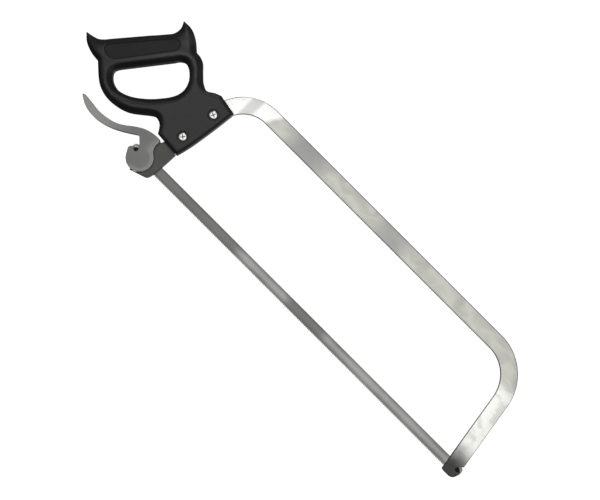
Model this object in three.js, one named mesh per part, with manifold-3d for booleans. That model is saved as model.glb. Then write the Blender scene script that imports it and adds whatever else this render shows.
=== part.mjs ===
// Butcher's bow saw: a bent steel bow, a moulded grip on its rear end, and a thin blade
// pulled tight by a cam lever that rolls in a saddle behind the rear blade pin.
// Millimetres. X runs forward along the blade, Y across the saw, Z from the teeth to the spine.
// While it is drawn, the rear blade pin is the origin.

import * as THREE from 'three';
import { mergeVertices } from 'three/addons/utils/BufferGeometryUtils.js';
import Module from 'manifold-3d';

const wasm = await Module();
wasm.setup();

// ---- driving dimensions ----

const gap = 0.35;                 // clearance between neighbouring pieces

const bladeEnds = { rear: -6.4, front: 552.4 };
const bladeTop = 6;
const bladeRoot = -6.5;           // bottom of the tooth gullets
const bladeTips = -8.1;
const bladeThickness = 0.65;
const bladeCorner = 5;
const toothPitch = 2.4;
const teethFrom = 14;
const teethTo = 532;

const pinRadius = 2.4;
const pinLength = 10;
const frontPin = new THREE.Vector2(546, 0.5);
const eyeTravel = [-0.85, 1.75];  // how far the lever carries its pin along the blade's rear eye

const barWidth = 21;
const barThickness = 6;
const barEdge = 1;                // eased edges of the bar
const spineHeight = 142;          // centre line of the spine
const rearBendRadius = 48.5;      // centre line radii of the two bends
const frontBendRadius = 55.5;
const tangLean = THREE.MathUtils.degToRad(9.6);
const legLean = THREE.MathUtils.degToRad(9.4);
const legFoot = new THREE.Vector2(540.3, 0);
const tangBelowScrew = 17;
const tangAhead = 1.3;            // the bar's centre line lies this far ahead of the screws
const slitHalf = 0.65;            // half width of the slit that holds the blade
const slitTop = 14;
const notchReach = 12;            // the front pin's seat runs out this far up and forward

const lowerScrew = new THREE.Vector2(30, 50);
const screwSpacing = 45;
const rivetBelowScrew = 11;

const camCentre = new THREE.Vector2(10.7, -4.3);
const camRadius = 17;
const leverHalf = 8;              // half thickness of the lever at its disc
const leverTipHalf = 5.5;
const leverSlotHalf = 1.5;
const leverSlotTop = 8.6;
const blockHalf = 6.5;
const tongueHalf = 5.5;
const tongueWidth = 18;
const bladeSlotHalf = 1.1;
const bladeSlotTop = 7.4;

const gripHalf = 13;              // half thickness of the handle at the grip
const socketHalf = 11;            // and where it holds the bar
const panelDepth = 1.2;
const pegRadius = 2.5;            // pegs on the left half that locate the right half
const pegLength = 4.5;

const barrelRadius = 3;
const shankRadius = 2;
const headRadius = 5;
const counterboreRadius = 6.8;
const counterboreFloor = 8.2;
const screwHeadHeight = 2.2;
const nutHeadHeight = 1.9;
const crossRecess = { length: 4.6, width: 1, depth: 1.3 };
const driverSlot = { width: 1.2, depth: 1 };
const clear = 20;                 // how far a cutting tool reaches past what it cuts

// ---- directions along the tang and the front leg ----

const tangUp = new THREE.Vector2(Math.sin(tangLean), Math.cos(tangLean));
const tangAcross = new THREE.Vector2(Math.cos(tangLean), -Math.sin(tangLean));
const legUp = new THREE.Vector2(-Math.sin(legLean), Math.cos(legLean));
const legAcross = new THREE.Vector2(Math.cos(legLean), Math.sin(legLean));

function step(origin, up, rise, across, side) {
  return origin.clone().addScaledVector(up, rise).addScaledVector(across, side);
}

const onTang = (rise, side = 0) => step(lowerScrew, tangUp, rise, tangAcross, side);
const onLeg = (rise, side = 0) => step(legFoot, legUp, rise, legAcross, side);
const upperScrew = onTang(screwSpacing);
const rivetPlace = onTang(-rivetBelowScrew);
const pegPlaces = [[-50, 132], [-112, 51], [-62, 27]].map((p) => new THREE.Vector2(...p));

// ---- solids ----

function solid(geometry) {
  const bare = geometry.clone();
  bare.deleteAttribute('normal');
  bare.deleteAttribute('uv');
  const merged = mergeVertices(bare);
  return new wasm.Manifold(new wasm.Mesh({
    numProp: 3,
    vertProperties: merged.attributes.position.array,
    triVerts: Uint32Array.from(merged.index.array),
  }));
}

function toGeometry(manifold) {
  const mesh = manifold.getMesh();
  const geometry = new THREE.BufferGeometry();
  geometry.setAttribute('position', new THREE.BufferAttribute(mesh.vertProperties, 3));
  geometry.setIndex(new THREE.BufferAttribute(mesh.triVerts, 1));
  geometry.computeVertexNormals();
  return geometry;
}

// A plate of an outline drawn across X and up Z, from yLow to yHigh, with its edges rounded by edge.
function plate(shape, yLow, yHigh, edge = 0, edgeSteps = 2) {
  const geometry = new THREE.ExtrudeGeometry(shape, {
    depth: yHigh - yLow - 2 * edge,
    bevelEnabled: edge > 0,
    bevelThickness: edge,
    bevelSize: edge,
    bevelOffset: -edge,
    bevelSegments: edgeSteps,
    curveSegments: 10,
  });
  geometry.translate(0, 0, edge - yHigh);
  geometry.rotateX(Math.PI / 2);
  return solid(geometry);
}

function box(low, high) {
  const size = high.map((value, i) => value - low[i]);
  const geometry = new THREE.BoxGeometry(...size);
  geometry.translate(...low.map((value, i) => value + size[i] / 2));
  return solid(geometry);
}

// A round body about a line along Y through place, from [radius, y] pairs that start and end on it.
function turned(profile, place, segments = 24) {
  const points = profile.map(([radius, y]) => new THREE.Vector2(radius, y));
  const geometry = new THREE.LatheGeometry(points, segments);
  geometry.translate(place.x, 0, place.y);
  return solid(geometry);
}

function rod(place, radius, yLow, yHigh, segments = 24) {
  return turned([[0, yLow], [radius, yLow], [radius, yHigh], [0, yHigh]], place, segments);
}

// A stretch of Y from near to far on one side of the mid-plane, low end first.
function span(side, near, far) {
  return side > 0 ? [near, far] : [-far, -near];
}

function polygon(points) {
  return new THREE.Shape(points.map((p) => (p.isVector2 ? p : new THREE.Vector2(...p))));
}

// Continues an outline with a smooth curve through the points, three chords to a span.
function curveThrough(path, points) {
  const knots = [path.currentPoint.clone(), ...points.map((p) => new THREE.Vector2(...p))];
  const chords = new THREE.SplineCurve(knots).getPoints(points.length * 3);
  for (const point of chords.slice(1)) path.lineTo(point.x, point.y);
}

// Thins a plate towards one end: cuts away what lies outside a half thickness that changes with X.
function taper(body, stations, far) {
  let result = body;
  for (const side of [-1, 1]) {
    const edge = stations.map(([x, half]) => new THREE.Vector2(x, side * half));
    const first = edge[0];
    const last = edge[edge.length - 1];
    const shape = new THREE.Shape([
      ...edge, new THREE.Vector2(last.x, side * far), new THREE.Vector2(first.x, side * far),
    ]);
    const wedge = new THREE.ExtrudeGeometry(shape, { depth: 400, bevelEnabled: false });
    wedge.translate(0, 0, -150);
    result = result.subtract(solid(wedge));
  }
  return result;
}

// ---- the bow ----

// The bar's outline, wider and longer by grow on every side for the pockets that hold it.
function bowShape(grow = 0) {
  const half = barWidth / 2 + grow;
  const rearReach = rearBendRadius + tangAhead;
  const rearRise = (spineHeight - rearBendRadius - lowerScrew.y + rearReach * Math.sin(tangLean))
    / Math.cos(tangLean);
  const rearCentre = onTang(rearRise, rearReach);
  const frontRise = (spineHeight - frontBendRadius + frontBendRadius * Math.sin(legLean))
    / Math.cos(legLean);
  const frontCentre = onLeg(frontRise, -frontBendRadius);

  const shape = new THREE.Shape();
  const corner = (rise, side) => {
    const point = onTang(rise, tangAhead + side);
    return [point.x, point.y];
  };
  const tangEnd = -tangBelowScrew - grow;
  shape.moveTo(...corner(tangEnd, -half));
  shape.lineTo(...corner(rearRise, -half));
  shape.absarc(rearCentre.x, rearCentre.y, rearBendRadius + half, Math.PI - tangLean, Math.PI / 2, true);
  shape.absarc(frontCentre.x, frontCentre.y, frontBendRadius + half, Math.PI / 2, legLean, true);
  // the foot: eased behind, well rounded in front
  const frontSide = onLeg(-3, half);
  const rearSide = onLeg(-9, -half);
  shape.lineTo(frontSide.x, frontSide.y);
  shape.quadraticCurveTo(551.3, -11.4, 543, -12.6);
  shape.lineTo(534.6, -12.6);
  shape.quadraticCurveTo(531.8, -12.4, rearSide.x, rearSide.y);
  shape.absarc(frontCentre.x, frontCentre.y, frontBendRadius - half, legLean, Math.PI / 2, false);
  shape.absarc(rearCentre.x, rearCentre.y, rearBendRadius - half, Math.PI / 2, Math.PI - tangLean, false);
  shape.lineTo(...corner(tangEnd, half));
  return shape;
}

function makeBow() {
  let bow = plate(bowShape(), -barThickness / 2, barThickness / 2, barEdge, 1);
  for (const place of [lowerScrew, upperScrew]) {
    bow = bow.subtract(rod(place, barrelRadius + gap, -clear, clear));
  }
  bow = bow.subtract(rod(rivetPlace, pinRadius + gap, -clear, clear));
  // the slit for the blade, open below, and the slanted seat for its pin
  bow = bow.subtract(box([515, -slitHalf, -20], [560, slitHalf, slitTop]));
  const seat = pinRadius + gap;
  const side = seat * Math.SQRT1_2;
  const mouth = frontPin.clone().addScalar(notchReach);
  const notch = new THREE.Shape();
  notch.absarc(frontPin.x, frontPin.y, seat, Math.PI * 0.75, Math.PI * 1.75, false);
  notch.lineTo(mouth.x + side, mouth.y - side);
  notch.lineTo(mouth.x - side, mouth.y + side);
  return bow.subtract(plate(notch, -clear, clear));
}

// ---- the tension block ----

function tongueShape(grow = 0, foot = -26) {
  const half = tongueWidth / 2 + grow;
  return polygon([
    onTang(foot, -half), onTang(12 + grow, -half), onTang(12 + grow, half), onTang(foot, half),
  ]);
}

function makeBlock() {
  const saddle = camRadius + gap;
  const shape = new THREE.Shape();
  shape.moveTo(38.5, 28.2);
  curveThrough(shape, [[37.7, 12], [36.5, -3], [34.9, -11.5]]);
  shape.quadraticCurveTo(34.1, -16, 30.5, -17.2);
  shape.lineTo(13, -23);
  shape.quadraticCurveTo(11.4, -23.4, 11.2, camCentre.y - saddle);
  shape.absarc(camCentre.x, camCentre.y, saddle, -Math.PI * 0.485, Math.PI / 3, false);
  shape.quadraticCurveTo(15.1, 15.4, 15, 20);
  shape.lineTo(15.3, 24);
  shape.quadraticCurveTo(15.6, 27.8, 19.8, 29.6);
  let block = plate(shape, -blockHalf, blockHalf);
  block = block.add(plate(tongueShape(), -tongueHalf, tongueHalf));
  const slot = barThickness / 2 + gap;
  block = block.subtract(plate(bowShape(gap), -slot, slot));
  block = block.subtract(rod(lowerScrew, barrelRadius + gap, -clear, clear));
  block = block.subtract(rod(rivetPlace, pinRadius + gap, -clear, clear));
  return block.subtract(box([0, -bladeSlotHalf, -30], [45, bladeSlotHalf, bladeSlotTop]));
}

// ---- the cam lever ----

function leverShape() {
  const seat = pinRadius + gap;
  const shape = new THREE.Shape();
  // top of the tail, from its tip to the corner beside the block
  shape.moveTo(-91.6, 0.4);
  shape.quadraticCurveTo(-93, 2.8, -90, 3.1);
  curveThrough(shape, [
    [-80, 2.1], [-65, 0.6], [-52, 2], [-40, 5], [-30, 10.5], [-20, 18], [-10, 24.1], [1, 27.5], [9, 28],
  ]);
  shape.quadraticCurveTo(14.5, 27.8, 14.6, 24);
  shape.lineTo(14.4, 20);
  shape.quadraticCurveTo(14.6, 15, 19.2, 10.42);
  // the disc and the nose of the hook
  shape.absarc(camCentre.x, camCentre.y, camRadius, Math.PI / 3, -Math.PI * 0.89, true);
  curveThrough(shape, [[-7.6, -6.2], [-7.9, -3.4], [-6.3, -0.9], [-4.2, -0.1]]);
  // the seat of the blade pin and the slanted mouth above it
  shape.absarc(0, 0, seat, Math.PI * 1.04, Math.PI * 2.14, false);
  shape.lineTo(1.6, 4.4);
  shape.lineTo(-6.6, 12.6);
  shape.quadraticCurveTo(-8.4, 14.3, -11.4, 12.7);
  // underside of the tail
  curveThrough(shape, [
    [-20, 7], [-30, 1], [-40, -3.8], [-50, -7], [-60, -8.5], [-72, -8], [-82, -5.2], [-91.6, 0.4],
  ]);
  return shape;
}

function makeLever() {
  let lever = plate(leverShape(), -leverHalf, leverHalf);
  lever = taper(lever, [[-120, leverTipHalf], [-60, leverTipHalf], [-10, leverHalf]], clear);
  return lever.subtract(box([-12, -leverSlotHalf, -30], [40, leverSlotHalf, leverSlotTop]));
}

// ---- the blade and its pins ----

function makeBlade() {
  const { rear, front } = bladeEnds;
  const shape = new THREE.Shape();
  shape.moveTo(rear + bladeCorner, bladeTop);
  shape.lineTo(front - bladeCorner, bladeTop);
  shape.absarc(front - bladeCorner, bladeTop - bladeCorner, bladeCorner, Math.PI / 2, 0, true);
  shape.absarc(front - bladeCorner, bladeRoot + bladeCorner, bladeCorner, 0, -Math.PI / 2, true);
  const teeth = Math.round((teethTo - teethFrom) / toothPitch);
  for (let i = 0; i < teeth; i += 1) {
    const x = teethTo - i * toothPitch;
    shape.lineTo(x, bladeRoot);
    shape.lineTo(x - toothPitch * 0.35, bladeTips);
  }
  shape.lineTo(teethTo - teeth * toothPitch, bladeRoot);
  shape.absarc(rear + bladeCorner, bladeRoot + bladeCorner, bladeCorner, -Math.PI / 2, -Math.PI, true);
  shape.absarc(rear + bladeCorner, bladeTop - bladeCorner, bladeCorner, Math.PI, Math.PI / 2, true);

  const hole = pinRadius + gap;
  const frontEye = new THREE.Path().absarc(frontPin.x, frontPin.y, hole, 0, Math.PI * 2);
  const rearEye = new THREE.Path();
  rearEye.absarc(eyeTravel[0], 0, hole, Math.PI / 2, Math.PI * 1.5, false);
  rearEye.absarc(eyeTravel[1], 0, hole, -Math.PI / 2, Math.PI / 2, false);
  shape.holes.push(frontEye, rearEye);
  return plate(shape, -bladeThickness / 2, bladeThickness / 2);
}

function makePin(place) {
  const half = pinLength / 2;
  const chamfer = 0.4;
  return turned([
    [0, -half], [pinRadius - chamfer, -half], [pinRadius, chamfer - half],
    [pinRadius, half - chamfer], [pinRadius - chamfer, half], [0, half],
  ], place);
}

// ---- the handle ----

function handleShape() {
  const shape = new THREE.Shape();
  shape.moveTo(39.8, 28.8);
  curveThrough(shape, [[44.9, 50], [50.2, 84], [53.6, 112.7]]);
  shape.lineTo(28, 117.4);
  curveThrough(shape, [[20.5, 114.6], [10.5, 109.2], [0, 113.8]]);
  // knuckle and upper horn
  curveThrough(shape, [[-8, 121.6], [-16, 129.4], [-23, 132.7], [-30.5, 133.4]]);
  curveThrough(shape, [[-41, 142.4], [-50, 147.6], [-58, 149.7], [-68.6, 149.4]]);
  curveThrough(shape, [[-65.2, 142.5], [-64.8, 136.5], [-66.6, 130.2], [-70.5, 125]]);
  // back of the grip and rear horn
  shape.lineTo(-120, 66.6);
  curveThrough(shape, [[-125.5, 62], [-132, 59.6], [-142.4, 57.6]]);
  curveThrough(shape, [[-135, 50.3], [-127, 46], [-118, 43.4], [-107.5, 42.3]]);
  // the guard below the fingers
  curveThrough(shape, [
    [-96, 31.6], [-86, 24], [-76, 19.9], [-65, 18.3], [-54, 19.2], [-44, 21.8], [-34, 26.6], [-18, 39],
  ]);
  curveThrough(shape, [[-11, 43.4], [-4, 42.4], [1, 38.4], [5.8, 31.2]]);
  return shape;
}

function openingPath() {
  const path = new THREE.Path();
  path.moveTo(-41, 105.6);
  curveThrough(path, [
    [-37, 111.2], [-31, 114.8], [-24.5, 113.3], [-18.5, 109], [-12.6, 101.5], [-9.7, 92], [-10.6, 82.6],
    [-14.8, 73.6], [-21.5, 64.6], [-31.5, 53.6], [-44, 43.4], [-55, 37.4], [-66, 34.8], [-76, 37.4],
    [-82.6, 43.4], [-84, 48.6], [-81.2, 54.2],
  ]);
  path.lineTo(-41, 105.6);
  return path;
}

// The sunken panel on each side of the grip.
function panelShape() {
  const shape = new THREE.Shape();
  shape.moveTo(-62, 124.5);
  shape.quadraticCurveTo(-58.4, 129, -53, 128);
  shape.quadraticCurveTo(-44.5, 124.4, -49, 116.6);
  shape.lineTo(-90, 62.4);
  shape.quadraticCurveTo(-96, 54, -105, 55.6);
  shape.quadraticCurveTo(-115, 58.6, -110.6, 66.2);
  return shape;
}

// The hollows moulded between the two halves, with the half thickness of each.
const cores = [
  { points: [[-64.4, 119.8], [-49.9, 107.6], [-91.4, 58.6], [-105.9, 70.8]], half: 9 },
  { points: [[-2, 62], [13, 60], [19, 98], [1, 100]], half: 7.5 },
];

function makeHandle() {
  const shape = handleShape();
  shape.holes.push(openingPath());
  let handle = plate(shape, -gripHalf, gripHalf);
  handle = taper(handle, [[-22, gripHalf], [4, socketHalf], [80, socketHalf]], clear);
  for (const side of [-1, 1]) {
    handle = handle.subtract(plate(panelShape(), ...span(side, gripHalf - panelDepth, clear)));
  }
  const slot = barThickness / 2 + gap;
  handle = handle.subtract(plate(bowShape(gap), -slot, slot));
  const pocket = tongueHalf + gap;
  handle = handle.subtract(plate(tongueShape(gap, -32), -pocket, pocket));
  for (const { points, half } of cores) {
    handle = handle.subtract(plate(polygon(points), -half, half));
  }
  for (const place of [lowerScrew, upperScrew]) {
    handle = handle.subtract(rod(place, barrelRadius + gap, -clear, clear));
    for (const side of [-1, 1]) {
      handle = handle.subtract(rod(place, counterboreRadius, ...span(side, counterboreFloor, clear)));
    }
  }
  return handle;
}

function handleHalf(handle, side) {
  const [yLow, yHigh] = span(side, gap / 2, clear);
  let half = handle.intersect(box([-160, yLow, 0], [80, yHigh, 170]));
  for (const place of pegPlaces) {
    if (side > 0) half = half.add(rod(place, pegRadius, -pegLength, pegLength));
    else half = half.subtract(rod(place, pegRadius + gap, -pegLength - gap, clear));
  }
  return half;
}

// ---- the fasteners ----

const headBase = counterboreFloor + gap;

// A pan-head screw with a cross recess, driven from the -Y side.
function makeScrew(place) {
  const top = headBase + screwHeadHeight;
  const { length, width, depth } = crossRecess;
  let screw = turned([
    [0, -top], [2.4, -top + 0.15], [4, -top + 0.8], [headRadius, -top + 1.7], [headRadius, -headBase],
    [shankRadius, -headBase], [shankRadius, 3.4], [shankRadius - 0.5, 4], [0, 4],
  ], place);
  for (const [across, up] of [[length, width], [width, length]]) {
    screw = screw.subtract(box(
      [place.x - across / 2, -clear, place.y - up / 2],
      [place.x + across / 2, depth - top, place.y + up / 2],
    ));
  }
  return screw;
}

// A slotted sleeve nut, driven from the +Y side, with the screw's shank inside its barrel.
function makeSleeveNut(place) {
  const top = headBase + nutHeadHeight;
  const half = driverSlot.width / 2;
  const nut = turned([
    [0, 4.8], [shankRadius + gap, 4.8], [shankRadius + gap, -6.6], [barrelRadius, -6.6],
    [barrelRadius, headBase], [headRadius, headBase], [headRadius, top - 1.2], [3.6, top - 0.3], [0, top],
  ], place);
  return nut.subtract(box(
    [place.x - clear, top - driverSlot.depth, place.y - half],
    [place.x + clear, clear, place.y + half],
  ));
}

// ---- the assembly ----

const finishes = {
  brightSteel: { color: 0xc8c8c6, roughness: 0.35, metalness: 1 },
  darkIron: { color: 0x44443f, roughness: 0.6, metalness: 0.8 },
  castGrey: { color: 0x7c7c7a, roughness: 0.55, metalness: 0.7 },
  bladeSteel: { color: 0x7c7b76, roughness: 0.4, metalness: 1 },
  pinSteel: { color: 0x2a2a2a, roughness: 0.5, metalness: 0.9 },
  nickel: { color: 0xd6d4cc, roughness: 0.25, metalness: 1 },
  blackPlastic: { color: 0x2b2b2b, roughness: 0.55, metalness: 0 },
};

const group = new THREE.Group();

function add(name, manifold, finish) {
  const mesh = new THREE.Mesh(toGeometry(manifold), new THREE.MeshStandardMaterial(finishes[finish]));
  mesh.name = name;
  group.add(mesh);
}

const handle = makeHandle();
add('frame_bow', makeBow(), 'brightSteel');
add('tension_block', makeBlock(), 'darkIron');
add('block_rivet', rod(rivetPlace, pinRadius, -tongueHalf, tongueHalf), 'pinSteel');
add('handle_left', handleHalf(handle, 1), 'blackPlastic');
add('handle_right', handleHalf(handle, -1), 'blackPlastic');
add('handle_screw_upper', makeScrew(upperScrew), 'nickel');
add('handle_screw_lower', makeScrew(lowerScrew), 'nickel');
add('sleeve_nut_upper', makeSleeveNut(upperScrew), 'nickel');
add('sleeve_nut_lower', makeSleeveNut(lowerScrew), 'nickel');
add('blade', makeBlade(), 'bladeSteel');
add('blade_pin_front', makePin(frontPin), 'pinSteel');
add('blade_pin_rear', makePin(new THREE.Vector2(0, 0)), 'pinSteel');
add('cam_lever', makeLever(), 'castGrey');

// the origin is the bottom centre of the whole saw
const bounds = new THREE.Box3().setFromObject(group);
group.position.set(-(bounds.min.x + bounds.max.x) / 2, 0, -bounds.min.z);

export default group;
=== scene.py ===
# A butcher's bow saw around its CAD frame: a fine mesh and a worked finish for every piece, a pale
# floor and soft studio light. Outlines are in millimetres from the rear blade pin, X forward along
# the blade and Z up towards the spine. Meshes are in metres.

import math

import bmesh
import bpy
import numpy as np
from mathutils import Matrix, Vector
from mathutils.geometry import delaunay_2d_cdt


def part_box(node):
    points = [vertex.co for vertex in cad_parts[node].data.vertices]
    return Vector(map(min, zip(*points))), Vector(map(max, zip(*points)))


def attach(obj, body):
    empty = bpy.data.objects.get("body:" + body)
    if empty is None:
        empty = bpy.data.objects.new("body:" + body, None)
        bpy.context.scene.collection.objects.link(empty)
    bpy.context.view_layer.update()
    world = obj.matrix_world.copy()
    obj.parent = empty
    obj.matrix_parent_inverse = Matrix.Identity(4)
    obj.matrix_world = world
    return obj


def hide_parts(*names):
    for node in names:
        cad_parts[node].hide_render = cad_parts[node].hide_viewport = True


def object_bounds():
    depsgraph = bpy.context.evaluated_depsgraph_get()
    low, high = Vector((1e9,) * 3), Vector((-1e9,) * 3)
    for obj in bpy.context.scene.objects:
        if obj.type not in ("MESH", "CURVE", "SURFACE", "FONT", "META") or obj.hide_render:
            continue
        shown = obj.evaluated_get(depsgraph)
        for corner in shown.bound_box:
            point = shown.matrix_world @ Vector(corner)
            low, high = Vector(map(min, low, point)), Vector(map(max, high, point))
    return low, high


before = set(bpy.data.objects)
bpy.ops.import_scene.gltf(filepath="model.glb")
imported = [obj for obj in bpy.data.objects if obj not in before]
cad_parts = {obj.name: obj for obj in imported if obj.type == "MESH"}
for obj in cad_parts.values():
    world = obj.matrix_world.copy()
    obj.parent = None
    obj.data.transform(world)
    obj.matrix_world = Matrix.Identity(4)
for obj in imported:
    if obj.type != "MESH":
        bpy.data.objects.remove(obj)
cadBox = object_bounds()
scene = bpy.context.scene
print("frame loaded,", len(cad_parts), "nodes")

mm = 0.001
pinLow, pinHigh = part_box("blade_pin_rear")
origin = (pinLow + pinHigh) / 2      # the rear blade pin
gap = 0.35                           # clearance between neighbouring pieces
diagonal = math.sqrt(0.5)            # the sine and the cosine of 45 degrees


# Outlines, as lists of (x, z) in millimetres.

class Outline:
    def __init__(self, x, z):
        self.points = [np.array((x, z), float)]

    def line(self, *points):
        self.points += [np.array(point, float) for point in points]
        return self

    def bend(self, control, end, steps=12):
        start, control, end = self.points[-1], np.array(control, float), np.array(end, float)
        for t in np.linspace(0, 1, steps + 1)[1:]:
            self.points.append((1 - t) ** 2 * start + 2 * t * (1 - t) * control + t * t * end)
        return self

    def through(self, *knots, steps=8):      # a smooth curve through the knots
        knots = [self.points[-1]] + [np.array(knot, float) for knot in knots]
        ends = [knots[0]] + knots + [knots[-1]]
        for a, b, c, d in zip(ends, ends[1:], ends[2:], ends[3:]):
            for t in np.linspace(0, 1, steps + 1)[1:]:
                pull = (c - a) / 2 * t + (2 * a - 5 * b + 4 * c - d) / 2 * t ** 2
                self.points.append(b + pull + (3 * b - a - 3 * c + d) / 2 * t ** 3)
        return self

    def arc(self, centre, radius, start, end, step=3):      # angles in degrees
        count = max(2, math.ceil(abs(end - start) / step))
        for angle in np.radians(np.linspace(start, end, count + 1)):
            self.points.append(np.array(centre) + radius * np.array((math.cos(angle), math.sin(angle))))
        return self

    def closed(self, spacing, sharp=24):      # points about spacing apart, corners kept
        return evenly(np.array(self.points), spacing, sharp)


def evenly(points, spacing, sharp):
    keep = np.linalg.norm(points - np.roll(points, 1, 0), axis=1) > 1e-4
    points = points[keep]
    before, after = points - np.roll(points, 1, 0), np.roll(points, -1, 0) - points
    turn = np.abs(np.degrees(np.arctan2(cross(before, after), (before * after).sum(1))))
    corners = np.flatnonzero(turn > sharp)
    if len(corners) == 0:
        corners = np.array([0])
    result = []
    for first, last in zip(corners, np.roll(corners, -1)):
        if last <= first:
            last += len(points)
        stretch = points[np.arange(first, last + 1) % len(points)]
        length = np.concatenate([[0], np.cumsum(np.linalg.norm(np.diff(stretch, axis=0), axis=1))])
        count = max(1, round(length[-1] / spacing))
        at = np.linspace(0, length[-1], count + 1)[:-1]
        result.append(np.stack([np.interp(at, length, stretch[:, i]) for i in (0, 1)], 1))
    loop = np.concatenate(result)
    return loop if loopArea(loop) > 0 else loop[::-1]


def cross(a, b):
    return a[:, 0] * b[:, 1] - a[:, 1] * b[:, 0]


def loopArea(loop):
    return cross(loop, np.roll(loop, -1, 0)).sum() / 2


def inward(loop):      # unit normals at the points, to the left of the way round
    along = np.roll(loop, -1, 0) - np.roll(loop, 1, 0)
    along /= np.linalg.norm(along, axis=1)[:, None]
    return np.stack([-along[:, 1], along[:, 0]], 1)


def rectangle(left, low, right, high):
    return np.array([(left, low), (right, low), (right, high), (left, high)], float)


def circle(centre, radius, count=48):
    angles = np.linspace(0, 2 * math.pi, count, endpoint=False)
    return np.array(centre) + radius * np.stack([np.cos(angles), np.sin(angles)], 1)


def edgeDistance(points, loops):
    starts = np.concatenate(loops)
    ways = np.concatenate([np.roll(loop, -1, 0) for loop in loops]) - starts
    squared = (ways ** 2).sum(1)

    def toEdges(chunk):
        offset = chunk[:, None] - starts
        share = np.clip((offset * ways).sum(2) / squared, 0, 1)
        return np.linalg.norm(offset - share[..., None] * ways, axis=2)
    return least(points, toEdges)


def nearestPoint(points, others):
    return least(points, lambda chunk: np.linalg.norm(chunk[:, None] - others, axis=2))


def least(points, distances):      # the least distance of each point, for part of the points at a time
    chunks = np.array_split(points, max(1, len(points) // 1500))
    return np.concatenate([distances(chunk).min(1) for chunk in chunks])


def isInside(points, loops):
    odd = np.zeros(len(points), bool)
    for loop in loops:
        for (ax, az), (bx, bz) in zip(loop, np.roll(loop, -1, 0)):
            if az != bz:
                spans = (az > points[:, 1]) != (bz > points[:, 1])
                odd ^= spans & (points[:, 0] < ax + (points[:, 1] - az) * (bx - ax) / (bz - az))
    return odd


def smooth(low, high, value):
    t = np.clip((value - low) / (high - low), 0, 1)
    return t * t * (3 - 2 * t)


# Solids.

def fill(loops, extra=()):      # triangles between the loops, through the extra points
    points = np.concatenate([*loops, *extra])
    rims, start = [], 0
    for loop in loops:
        rims.append(range(start, start + len(loop)))
        start += len(loop)
    edges = [(a, b) for rim in rims for a, b in zip(rim, [*rim[1:], rim[0]])]
    made = delaunay_2d_cdt([Vector(p) for p in points.tolist()], edges, [], 0, 1e-6)
    places = np.array([tuple(p) for p in made[0]])
    order = {source: index for index, sources in enumerate(made[3]) for source in sources}
    rims = [[order[i] for i in rim] for rim in rims]
    walls = {frozenset(pair) for rim in rims for pair in zip(rim, rim[1:] + rim[:1])}
    return places, between(np.array(made[2]), places, walls, loops), rims


def between(faces, places, walls, loops):      # a patch inside the walls is kept or dropped whole
    beside = {}
    for index, face in enumerate(faces.tolist()):
        for pair in zip(face, face[1:] + face[:1]):
            if frozenset(pair) not in walls:
                beside.setdefault(frozenset(pair), []).append(index)
    links = [[] for _ in faces]
    for pair in beside.values():
        if len(pair) == 2:
            links[pair[0]].append(pair[1])
            links[pair[1]].append(pair[0])
    a, b, c = (places[faces[:, i]] for i in range(3))
    area = np.abs(cross(b - a, c - a))
    wanted = isInside(places[faces].mean(1), loops) & (area > 1e-3)
    state = [None] * len(faces)
    for seed in np.argsort(-area).tolist():
        if state[seed] is None:
            waiting = [seed]
            state[seed] = wanted[seed]
            while waiting:
                for index in links[waiting.pop()]:
                    if state[index] is None:
                        state[index] = wanted[seed]
                        waiting.append(index)
    return faces[np.array(state, bool)]


def linked(name, data):      # an object in the scene for a mesh, a light or a camera
    made = bpy.data.objects.new(name, data)
    scene.collection.objects.link(made)
    return made


def meshObject(name, places, edges, faces):      # places in metres
    mesh = bpy.data.meshes.new(name)
    mesh.from_pydata(places, edges, faces)
    return linked(name, mesh)


def newObject(name, vertices, faces):      # vertices in millimetres from the rear blade pin
    places = (np.array(vertices) * mm + np.array(origin)).tolist()
    piece = meshObject(name, places, [], [list(face) for face in faces])
    tidyMesh(piece.data)
    return piece


def tidyMesh(mesh):      # joins points that lie together and turns every face outward
    work = bmesh.new()
    work.from_mesh(mesh)
    bmesh.ops.remove_doubles(work, verts=work.verts, dist=1e-6)
    bmesh.ops.recalc_face_normals(work, faces=work.faces)
    work.to_mesh(mesh)
    work.free()


def stack(name, places, faces, rims, levels):
    # one solid from fills of the same outlines: levels are (inset points, y) from the low side up
    count = len(places)
    top = (len(levels) - 1) * count
    vertices = [np.column_stack([shape[:, 0], np.broadcast_to(y, count), shape[:, 1]])
                for shape, y in levels]
    skins = [tuple(face) for face in faces] + [tuple(face[::-1] + top) for face in faces]
    for rim in rims:
        for low in range(0, top, count):
            high = low + count
            for a, b in zip(rim, rim[1:] + rim[:1]):
                skins.append((a + low, a + high, b + high, b + low))
    used = sorted({i for skin in skins for i in skin})
    renumber = {old: new for new, old in enumerate(used)}
    vertices = np.concatenate(vertices)[used]
    return newObject(name, vertices, [tuple(renumber[i] for i in skin) for skin in skins])


def prism(loops, yLow, yHigh, name="prism"):
    loops = loops if isinstance(loops, list) else [loops]
    places, faces, rims = fill(loops)
    return stack(name, places, faces, rims, [(places, yLow), (places, yHigh)])


def turned(name, profile, place=(0, 0), segments=64):
    # a round body about a line along Y, from (radius, y) pairs that start and end on it
    angles = np.linspace(0, 2 * math.pi, segments, endpoint=False)
    vertices, rings = [], []
    for radius, y in profile:
        count = 1 if radius == 0 else segments
        rings.append([len(vertices) + i % count for i in range(segments)])
        for angle in angles[:count]:
            vertices.append((place[0] + radius * math.cos(angle), y, place[1] + radius * math.sin(angle)))
    faces = []
    for low, high in zip(rings, rings[1:]):
        for i in range(segments):
            j = (i + 1) % segments
            corners = dict.fromkeys((low[i], low[j], high[j], high[i]))
            if len(corners) > 2:
                faces.append(tuple(corners))
    return newObject(name, vertices, faces)


def rod(place, radius, yLow, yHigh):
    return turned("rod", [(0, yLow), (radius, yLow), (radius, yHigh), (0, yHigh)], place)


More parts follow.
